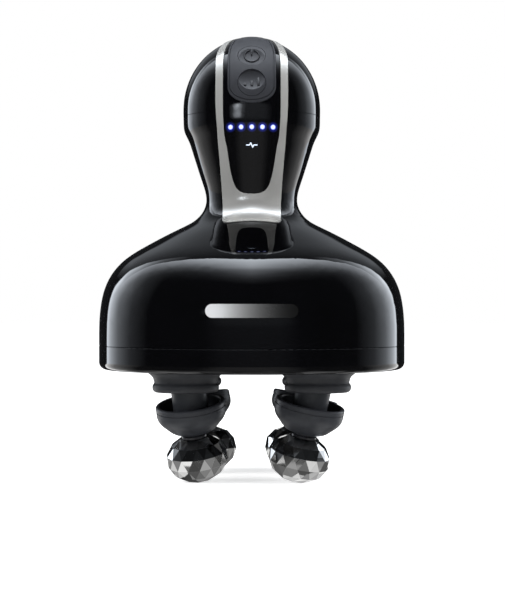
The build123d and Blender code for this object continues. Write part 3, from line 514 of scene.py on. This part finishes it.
def moulded(name, colour, roughness, grains, depth):
    """A matt moulded finish: a colour that wanders a little, over a fine grain."""
    material = finish(name, colour, roughness)
    mottle(material, CLOUDS, [DEEPER * c for c in colour], [PALER * c for c in colour])
    grain(material, grains, GRAIN_STRENGTH, depth)
    return material


def dress(material, *names):
    """The finish goes onto these CAD nodes."""
    for name in names:
        node = nodes[name]
        if not node.material_slots:
            node.data.materials.append(material)
        for slot in node.material_slots:
            slot.material = material


# %% [markdown]
# ## Gloss black
#
# The body, its cap and the base are moulded in black and polished in the mould. Such plastic is
# nearly pure black and nearly a mirror. The only life in it is a trace of unevenness in the polish.
# The base is polished a little less, because it is the part that gets put down and knocked.

# %% Gloss black
BLACK = (0.0010, 0.0010, 0.0013)
BLACK_DEEP = (0.0008, 0.0008, 0.0010)
BLACK_PALE = (0.0013, 0.0013, 0.0017)


def polished(name, roughness, low, high):
    """Black plastic out of a polished mould, with a roughness between low and high."""
    material = finish(name, BLACK, roughness)
    mottle(material, 30, BLACK_DEEP, BLACK_PALE)
    drift(material, 60, low, high)
    return material


dress(polished("gloss_black", 0.03, 0.02, 0.045), "main_housing", "handle_cap")
dress(polished("gloss_black_base", 0.05, 0.04, 0.07), "base_cover")
print("gloss black has roughness 0.02 to 0.045")

# %% [markdown]
# ## The dark panel
#
# The panel inside the loop is smoked plastic. Light from the five status lights creeps a little way
# into it and makes a blue ring round each one. The ring is a distance: how far is this point from
# the nearest light? The lights stand at an even pitch, so x is folded back to the nearest of them.

# %% The panel
LIGHTS = 5
LIGHT_Z = 0.1242
LIGHT_PITCH = 0.00371
HALO_R = 0.0019
HALO_BLUE = (0.06, 0.10, 1.0, 1)
HALO_STRENGTH = 0.6
HALO_FALL = 1.4


def from_light(tree):
    """How far a point is from the nearest status light, in metres."""
    x, y, z = axes_of(tree)
    nearest = arithmetic(tree, "ROUND", arithmetic(tree, "DIVIDE", x, LIGHT_PITCH))
    right = arithmetic(tree, "SUBTRACT", x, arithmetic(tree, "MULTIPLY", nearest, LIGHT_PITCH))
    above = arithmetic(tree, "SUBTRACT", z, LIGHT_Z)
    squares = [arithmetic(tree, "POWER", side, 2) for side in (right, above)]
    return arithmetic(tree, "SQRT", arithmetic(tree, "ADD", *squares))


panel = finish("panel_black", (0.0010, 0.0010, 0.0014), 0.02)
drift(panel, 90, 0.015, 0.04)
tree = panel.node_tree
x, y, z = axes_of(tree)
in_row = arithmetic(tree, "LESS_THAN", arithmetic(tree, "ABSOLUTE", x), LIGHTS / 2 * LIGHT_PITCH)
halo = arithmetic(tree, "DIVIDE", from_light(tree), HALO_R)
halo = arithmetic(tree, "MAXIMUM", arithmetic(tree, "SUBTRACT", 1.0, halo), 0)
halo = arithmetic(tree, "MULTIPLY", arithmetic(tree, "POWER", halo, HALO_FALL), in_row)
halo = arithmetic(tree, "MULTIPLY", halo, HALO_STRENGTH)
tree.nodes["shader"].inputs["Emission Color"].default_value = HALO_BLUE
tree.links.new(halo, tree.nodes["shader"].inputs["Emission Strength"])
dress(panel, "display_panel")
print("halo radius", round(HALO_R / MM, 2), "mm")

# %% [markdown]
# ## The status lights
#
# Each light is the polished end of a light guide. Its middle is nearly white and its rim is deep
# blue, as a bright lamp looks in a photograph, so a colour ramp reads the same distance again. The
# small window below the lights is dark, and the sign on it gets its own light later.

# %% The status lights
LIGHT_R = 0.0008
LIGHT_CORE = [(0.0, (0.90, 0.94, 1.0)), (0.55, (0.62, 0.70, 1.0)), (1.0, (0.04, 0.06, 0.55))]
LIGHT_STRENGTH = 1.1
status_light = finish("light_white", (0.3, 0.35, 0.6), 0.3)
drift(status_light, 500, 0.25, 0.35)
tree = status_light.node_tree
core = ramp(tree, arithmetic(tree, "DIVIDE", from_light(tree), LIGHT_R), LIGHT_CORE)
tree.links.new(core.outputs["Color"], tree.nodes["shader"].inputs["Emission Color"])
tree.nodes["shader"].inputs["Emission Strength"].default_value = LIGHT_STRENGTH
dress(status_light, "light_guide")

sign_lens = finish("sign_lens", (0.004, 0.004, 0.006), 0.05)
drift(sign_lens, 500, 0.03, 0.07)
dress(sign_lens, "mode_window")
print("light radius", round(LIGHT_R / MM, 2), "mm")

# %% [markdown]
# ## Silver
#
# The loop round the switches is a plated moulding, brushed lightly along its length. Brushing pulls
# the reflection into long streaks, so the noise is drawn out along Z. The drift is slow, because a
# fine one breaks a satin reflection up into specks. A plated finish that is this soft also shows
# some light of its own colour, like paint, and that is what keeps it pale where it mirrors the dark
# room. The bar in the front is the same silver with a painted highlight: its colour goes from
# bright to dark across its width, so it seems to catch the light from the left.

# %% Silver
ALONG = (1, 1, 0.12)
BAR_HALF = 0.0155
BAR_PAINTED_HIGHLIGHT = [(0.0, 0.76), (0.5, 0.03), (1.0, 0.002)]
satin = finish("satin_silver", (0.66, 0.655, 0.63), 0.26, metal=0.72)
drift(satin, 90, 0.24, 0.28, ALONG)
dress(satin, "trim_frame")

bar = finish("bar_silver", (0.75, 0.75, 0.74), 0.28, metal=0.35)
bar.node_tree.nodes["shader"].inputs["Specular IOR Level"].default_value = 0.2
drift(bar, 120, 0.27, 0.29)
tree = bar.node_tree
# A painted highlight: the bar's colour runs from bright at its left edge to dark at its right.
x, y, z = axes_of(tree)
across = mapped(tree, x, -BAR_HALF, BAR_HALF)
tones = ramp(tree, across, [(place, [level] * 3) for place, level in BAR_PAINTED_HIGHLIGHT])
tones.color_ramp.interpolation = "B_SPLINE"
tree.links.new(tones.outputs["Color"], tree.nodes["shader"].inputs["Base Color"])
dress(bar, "front_bar")
print("the bar is toned over", round(2 * BAR_HALF / MM, 1), "mm")

# %% [markdown]
# ## Rubber and matt plastic
#
# The pad and both keys are silicone rubber, the boots are a softer and blacker one. The cups and
# stems are nylon with a fine spark texture. All of them scatter the lamps instead of mirroring the
# room, so here the grain does the work.

# %% Rubber and matt plastic
pad_rubber = moulded("pad_rubber", (0.019, 0.020, 0.024), 0.55, 6000, 0.00004)
dress(pad_rubber, "button_pad")
key_rubber = moulded("key_rubber", (0.020, 0.021, 0.025), 0.5, 6000, 0.00004)
dress(key_rubber, "power_button", "level_button")
boot_rubber = moulded("boot_rubber", (0.020, 0.021, 0.024), 0.5, 5000, 0.00004)
cup_matte = moulded("cup_matte", (0.022, 0.0235, 0.0275), 0.4, 6000, 0.00003)
stem_plastic = moulded("stem_plastic", (0.022, 0.024, 0.028), 0.42, 5000, 0.00002)
ring_black = moulded("ring_black", (0.010, 0.010, 0.012), 0.2, 4000, 0.00001)
for head in HEADS:
    dress(cup_matte, "cup_" + head)
    dress(stem_plastic, "stem_" + head)
    dress(ring_black, "neck_ring_" + head)
print("cups, stems and rings dressed:", 3 * len(HEADS))

# %% [markdown]
# ## The faceted balls
#
# The balls are cast, ground flat facet by facet, polished and chromed. Grinding leaves the tiniest
# rounding along each edge, and that rounding is what sparkles. The CAD ball arrives as loose
# triangles, so a Weld modifier joins them first and a narrow Bevel then breaks the edges.
#
# No two facets come off the wheel with the same polish. The normal of a flat facet is one and the
# same all over it, so a white noise that reads the normal, rounded a little, gives each facet a
# number of its own, and that number sets how brightly it mirrors.

# %% The faceted balls
WELD_GAP = 0.00001
EDGE = 0.00009
EDGE_ANGLE = math.radians(12)
NORMAL_STEP = 0.05
DULL_FACET = (0.22, 0.22, 0.22)
BRIGHT_FACET = (0.96, 0.96, 0.95)
chrome = finish("ball_chrome", (0.88, 0.88, 0.87), 0.05, metal=1.0)
drift(chrome, 260, 0.05, 0.12)
tree = chrome.node_tree
facing = tree.nodes.new("ShaderNodeTexCoord")
rounded = tree.nodes.new("ShaderNodeVectorMath")
rounded.operation = "SNAP"
rounded.inputs[1].default_value = (NORMAL_STEP, NORMAL_STEP, NORMAL_STEP)
tree.links.new(facing.outputs["Normal"], rounded.inputs[0])
lot = tree.nodes.new("ShaderNodeTexWhiteNoise")
tree.links.new(rounded.outputs[0], lot.inputs["Vector"])
tones = ramp(tree, lot.outputs["Value"], [(0.0, DULL_FACET), (1.0, BRIGHT_FACET)])
tree.links.new(tones.outputs["Color"], tree.nodes["shader"].inputs["Base Color"])
for head in HEADS:
    ball = nodes["electrode_" + head]
    weld = ball.modifiers.new("weld", "WELD")
    weld.merge_threshold = WELD_GAP
    bevel = ball.modifiers.new("bevel", "BEVEL")
    bevel.width = EDGE
    bevel.segments = 1
    bevel.limit_method = "ANGLE"
    bevel.angle_limit = EDGE_ANGLE
    dress(chrome, "electrode_" + head)
print("broken edges", round(EDGE / MM, 2), "mm wide")

# %% [markdown]
# ## What is inside
#
# Nobody sees the inside until somebody takes the massager apart, and then the finishes should still
# tell what each piece is: white gears, brass bushes, a steel motor, green boards, a wrapped cell.
# Each row below is one finish and the pieces that have it.

# %% The inner finishes
INNER_MOULDED = [
    ("gear_white", (0.80, 0.80, 0.77), 0.4, 3000, 0.00002,
     ["sun_gear"] + ["crank_gear_" + head for head in HEADS]),
    ("retainer_white", (0.72, 0.72, 0.70), 0.45, 3000, 0.00002, ["socket_retainers"]),
    ("plate_grey", (0.23, 0.24, 0.26), 0.5, 2500, 0.00004, ["gearbox_plate"]),
    ("cradle_black", (0.035, 0.035, 0.040), 0.5, 4000, 0.00003, ["battery_cradle", "charge_block"]),
    ("switch_black", (0.045, 0.045, 0.045), 0.4, 4000, 0.00002, ["key_switches"]),
    ("seal_rubber", (0.028, 0.028, 0.028), 0.7, 5000, 0.00003, ["base_seal"]),
    ("board_green", (0.022, 0.13, 0.06), 0.35, 2500, 0.00003, ["main_board", "key_board"]),
    ("chip_white", (0.80, 0.80, 0.72), 0.3, 4000, 0.00001, ["status_leds"]),
    ("cell_wrap", (0.05, 0.16, 0.42), 0.3, 2000, 0.00002, ["battery_cell"]),
]
INNER_METAL = [
    ("motor_steel", (0.58, 0.58, 0.60), 0.25, 0.42, (1, 1, 6),
     ["gearhead", "motor_can", "output_shaft"]),
    ("screw_steel", (0.52, 0.52, 0.54), 0.25, 0.4, (1, 1, 3),
     ["cover_screws", "motor_screws", "gearbox_screws"]),
    ("tab_nickel", (0.68, 0.66, 0.60), 0.2, 0.35, (1, 6, 1), ["battery_tabs"]),
    ("contact_gold", (0.84, 0.62, 0.26), 0.15, 0.3, (1, 1, 1), ["charge_pins"]),
    ("bush_brass", (0.70, 0.52, 0.27), 0.3, 0.5, (1, 1, 6), ["crank_bushes"]),
]


def worked_metal(name, colour, low, high, stretch):
    """A metal whose roughness wanders, in streaks the way it was rolled or turned."""
    material = finish(name, colour, low, metal=1.0)
    drift(material, 900, low, high, stretch)
    grain(material, 3000, 0.05, 0.00001, stretch)
    return material


for *recipe, pieces in INNER_MOULDED:
    dress(moulded(*recipe), *pieces)
for *recipe, pieces in INNER_METAL:
    dress(worked_metal(*recipe), *pieces)
print("inner finishes:", len(INNER_MOULDED) + len(INNER_METAL))

# %% [markdown]
# ## A rubber boot
#
# Each head leaves the base through a rubber boot, with a flange that clips under the base, a waist
# and a soft roll below. A boot is round, so it is made the way a potter throws a bowl: a ring of
# edges is drawn out along the profile, from point to point, down the outside and up the inside,
# until it meets itself.

# %% A rubber boot
BOOT_PROFILE = [
    (13.10, 39.20), (13.10, 38.75), (12.95, 38.45), (12.30, 37.95), (11.70, 37.40), (11.35, 36.85),
    (11.15, 36.10), (11.00, 35.60), (10.98, 35.15), (11.20, 34.85), (11.50, 34.45), (11.62, 33.90),
    (11.58, 33.20), (11.35, 32.60), (10.95, 32.15), (10.40, 31.92), (9.40, 31.90), (8.95, 31.98),
    (8.78, 32.30), (8.78, 32.90), (9.75, 33.05), (9.75, 36.40), (10.58, 36.42), (10.58, 39.20),
]
SAME_POINT = 0.000001
SMOOTH_BELOW = math.radians(40)


def thrown(name, profile):
    """A closed round form, drawn out ring by ring along a profile of (radius, height) in mm."""
    first_r, first_height = profile[0]
    clear_selection()
    bpy.ops.mesh.primitive_circle_add(
        vertices=96, radius=first_r * MM, location=(0, 0, first_height * MM))
    piece = bpy.context.object
    piece.name = name
    bpy.ops.object.mode_set(mode="EDIT")
    bpy.ops.mesh.select_mode(type="EDGE")
    bpy.ops.mesh.select_all(action="SELECT")
    for (radius, height), (next_r, next_height) in zip(profile, profile[1:] + profile[:1]):
        lift = (0, 0, (next_height - height) * MM)
        bpy.ops.mesh.extrude_region_move(TRANSFORM_OT_translate={"value": lift})
        grow = next_r / radius
        bpy.ops.transform.resize(value=(grow, grow, 1))
    bpy.ops.mesh.select_all(action="SELECT")
    bpy.ops.mesh.remove_doubles(threshold=SAME_POINT)
    bpy.ops.mesh.normals_make_consistent(inside=False)
    bpy.ops.object.mode_set(mode="OBJECT")
    bpy.ops.object.shade_smooth_by_angle(angle=SMOOTH_BELOW)
    return piece


first_boot = thrown("boot_front_left_skin", BOOT_PROFILE)
print("a boot measures", [round(side / MM, 1) for side in first_boot.dimensions], "mm")

# %% [markdown]
# ## The boots in place
#
# The heads stand in a square, whose corners lie on a circle round the middle. The first boot moves
# to its corner, and the others are copies, each with a mesh of its own. Then the place of each boot
# goes into its mesh, and each is hung on the case, where it stands in for the boot from CAD.

# %% The boots in place
HEADS_R = 0.0325
HEAD_OFF = HEADS_R * math.sqrt(0.5)
HEAD_SPOTS = {
    "front_left": (-1, -1), "front_right": (1, -1), "rear_left": (-1, 1), "rear_right": (1, 1)}


def settle(piece, body, material):
    """Applies a piece's place, gives it its finish and hangs it on its CAD body."""
    clear_selection()
    piece.select_set(True)
    bpy.context.view_layer.objects.active = piece
    bpy.ops.object.transform_apply(location=True, rotation=True, scale=True)
    piece.data.materials.clear()
    piece.data.materials.append(material)
    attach(piece, body)


def copy_of(piece, name, shift):
    """A copy with its own mesh, moved by shift."""
    twin = piece.copy()
    twin.data = piece.data.copy()
    twin.name = name
    bpy.context.scene.collection.objects.link(twin)
    twin.location = piece.location + Vector(shift)
    return twin


first_boot.location.x = -HEAD_OFF
first_boot.location.y = -HEAD_OFF
boots = {"front_left": first_boot}
for head in HEADS[1:]:
    right, back = HEAD_SPOTS[head]
    shift = ((right + 1) * HEAD_OFF, (back + 1) * HEAD_OFF, 0)
    boots[head] = copy_of(first_boot, "boot_" + head + "_skin", shift)
for head, boot in boots.items():
    settle(boot, "case", boot_rubber)
    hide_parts("boot_" + head)
print("boots:", len(boots), "at", round(HEAD_OFF / MM, 2), "mm to each side")

# %% [markdown]
# ## The raised signs on the keys
#
# Both keys carry a sign moulded into the rubber, so that a thumb can tell them apart: a ring with a
# stroke for power, and three bars of growing height for the strength. A key's face leans back by 60
# degrees from the floor and is dished like a spoon. Its hollow is part of a ball, so every point of
# a ring about its middle lies equally deep, and the depth follows from Pythagoras. The two spots
# below are the middles of the keys, level with their rims.

# %% The hollows of the keys
KEY_LEAN = math.radians(60)
KEY_R = 4.8 * MM
KEY_DISH = 1.0 * MM
DISH_BALL = (KEY_R ** 2 + KEY_DISH ** 2) / (2 * KEY_DISH)
RAISED = 0.12 * MM
KEY_OUT = Vector((0, -math.sin(KEY_LEAN), math.cos(KEY_LEAN)))
KEY_UP = Vector((0, math.cos(KEY_LEAN), math.sin(KEY_LEAN)))
POWER_SPOT = Vector((0, -18.3252, 150.0)) * MM
LEVEL_SPOT = Vector((0, -23.6864, 139.9)) * MM


def sunk(right, up):
    """How far a sign lies behind a key's rim, at a point right and up of the key's middle."""
    return KEY_DISH - DISH_BALL + math.sqrt(DISH_BALL ** 2 - right ** 2 - up ** 2) - RAISED


print("a sign at the middle of a key is sunk", round(sunk(0, 0) / MM, 2), "mm")

# %% [markdown]
# ## The power sign
#
# The ring is a torus that loses a few faces at its top, and its two ends are closed again. The
# stroke is a bar: it starts as a cube, is brought to its size and gets rounded edges from a bevel.
# The bars of the other key are made by the same helper.

# %% The power sign
BAR_DEEP = 0.4 * MM
BAR_ROUNDING = 0.1 * MM
STROKE_LOW = 0.5 * MM
STROKE_HIGH = 3.0 * MM
STROKE_WIDE = 0.42 * MM
RING_R = 2.55 * MM
RING_TUBE_R = 0.27 * MM
RING_GAP = 0.75 * MM


def bar_on_key(name, middle, right, low, high, width):
    """An upright rounded bar on a key, from low to high along the key's face."""
    clear_selection()
    up = (low + high) / 2
    place = middle - KEY_OUT * sunk(right, up) + Vector((right, 0, 0)) + KEY_UP * up
    bpy.ops.mesh.primitive_cube_add(size=1, location=place, rotation=(KEY_LEAN, 0, 0))
    piece = bpy.context.object
    piece.name = name
    piece.scale = (width, high - low, BAR_DEEP)
    bpy.ops.object.transform_apply(location=False, rotation=False, scale=True)
    bpy.ops.object.mode_set(mode="EDIT")
    bpy.ops.mesh.select_all(action="SELECT")
    bpy.ops.mesh.bevel(offset=BAR_ROUNDING, segments=3, affect="EDGES")
    bpy.ops.object.mode_set(mode="OBJECT")
    bpy.ops.object.shade_smooth_by_angle(angle=SMOOTH_BELOW)
    return piece


# The signs are painted darker than their keys, though they are moulded in the same rubber: the dark
# is painted shade, like the shade along a moulded sign's edges.
sign_rubber_painted_shade = moulded("sign_rubber_painted_shade", (0.007, 0.007, 0.009), 0.4, 6000, 0.00002)
clear_selection()
ring_place = POWER_SPOT - KEY_OUT * sunk(RING_R, 0)
bpy.ops.mesh.primitive_torus_add(
    major_radius=RING_R, minor_radius=RING_TUBE_R, major_segments=72, minor_segments=12,
    location=ring_place, rotation=(KEY_LEAN, 0, 0))
ring = bpy.context.object
ring.name = "power_ring"
edit_faces(ring, lambda x, y, z: y > 0 and abs(x) < RING_GAP)
bpy.ops.mesh.delete(type="FACE")
bpy.ops.mesh.select_mode(type="EDGE")
bpy.ops.mesh.select_non_manifold()
bpy.ops.mesh.edge_face_add()
bpy.ops.object.mode_set(mode="OBJECT")
bpy.ops.object.shade_smooth_by_angle(angle=SMOOTH_BELOW)
stroke = bar_on_key("power_stroke", POWER_SPOT, 0, STROKE_LOW, STROKE_HIGH, STROKE_WIDE)
for piece in (ring, stroke):
    settle(piece, "power_key", sign_rubber_painted_shade)
print("the ring lies", round((POWER_SPOT - ring_place).length / MM, 2), "mm deep")

# %% [markdown]
# ## The level bars
#
# Three bars stand on one line, and each is a step higher than the one before it.

# %% The level bars
BARS = 3
BARS_LOW = -1.2 * MM
BAR_SHORTEST = 1.1 * MM
BAR_STEP = 1.2 * MM
BAR_WIDE = 0.85 * MM
BAR_PITCH = 2.35 * MM
for count in range(BARS):
    right = (count - 1) * BAR_PITCH
    bar_top = BARS_LOW + BAR_SHORTEST + BAR_STEP * count
    name = "level_bar_" + str(count + 1)
    piece = bar_on_key(name, LEVEL_SPOT, right, BARS_LOW, bar_top, BAR_WIDE)
    settle(piece, "level_key", sign_rubber_painted_shade)
print("bars:", BARS, "and the highest ends", round(bar_top / MM, 1), "mm above the key's middle")

# %% [markdown]
# ## The lit sign
#
# Below the lights a small sign shows that the pulse is on: a flat line with one beat in it. It is
# laid out from flat strokes and pressed against the curved window with a Shrinkwrap, then given a
# hair's thickness.

# %% The lit sign
SIGN_Z = 118.1
SIGN_Y = -0.03
SIGN_BLUE = (0.66, 0.80, 1.0, 1)
SIGN_STRENGTH = 0.9
PULSE = [(-1.9, 0.0), (-0.8, 0.0), (-0.35, 0.75), (0.3, -0.75), (0.75, 0.0), (1.9, 0.0)]
STROKE = 0.26
strokes = []
for (x0, z0), (x1, z1) in zip(PULSE, PULSE[1:]):
    clear_selection()
    bpy.ops.mesh.primitive_grid_add(
        x_subdivisions=6, y_subdivisions=1, size=1,
        location=((x0 + x1) / 2 * MM, SIGN_Y, (SIGN_Z + (z0 + z1) / 2) * MM),
        rotation=(math.pi / 2, -math.atan2(z1 - z0, x1 - x0), 0))
    stroke = bpy.context.object
    stroke.scale = ((math.hypot(x1 - x0, z1 - z0) + STROKE / 2) * MM, STROKE * MM, 1)
    strokes.append(stroke)
clear_selection()
for stroke in strokes:
    stroke.select_set(True)
sign = strokes[0]
bpy.context.view_layer.objects.active = sign
bpy.ops.object.transform_apply(location=True, rotation=True, scale=True)
bpy.ops.object.join()
sign.name = "pulse_sign"
press = sign.modifiers.new("press", "SHRINKWRAP")
press.target = nodes["mode_window"]
press.wrap_method = "PROJECT"
press.use_project_y = True
press.use_positive_direction = True
press.use_negative_direction = True
press.offset = 0.04 * MM
thicken = sign.modifiers.new("thicken", "SOLIDIFY")
thicken.thickness = 0.06 * MM
bpy.ops.object.modifier_apply(modifier="press")
bpy.ops.object.modifier_apply(modifier="thicken")
sign_light = finish("sign_light", (0.7, 0.8, 0.9), 0.3)
drift(sign_light, 500, 0.25, 0.35)
shader = sign_light.node_tree.nodes["shader"]
shader.inputs["Emission Color"].default_value = SIGN_BLUE
shader.inputs["Emission Strength"].default_value = SIGN_STRENGTH
settle(sign, "case", sign_light)
print("sign strokes:", len(strokes))
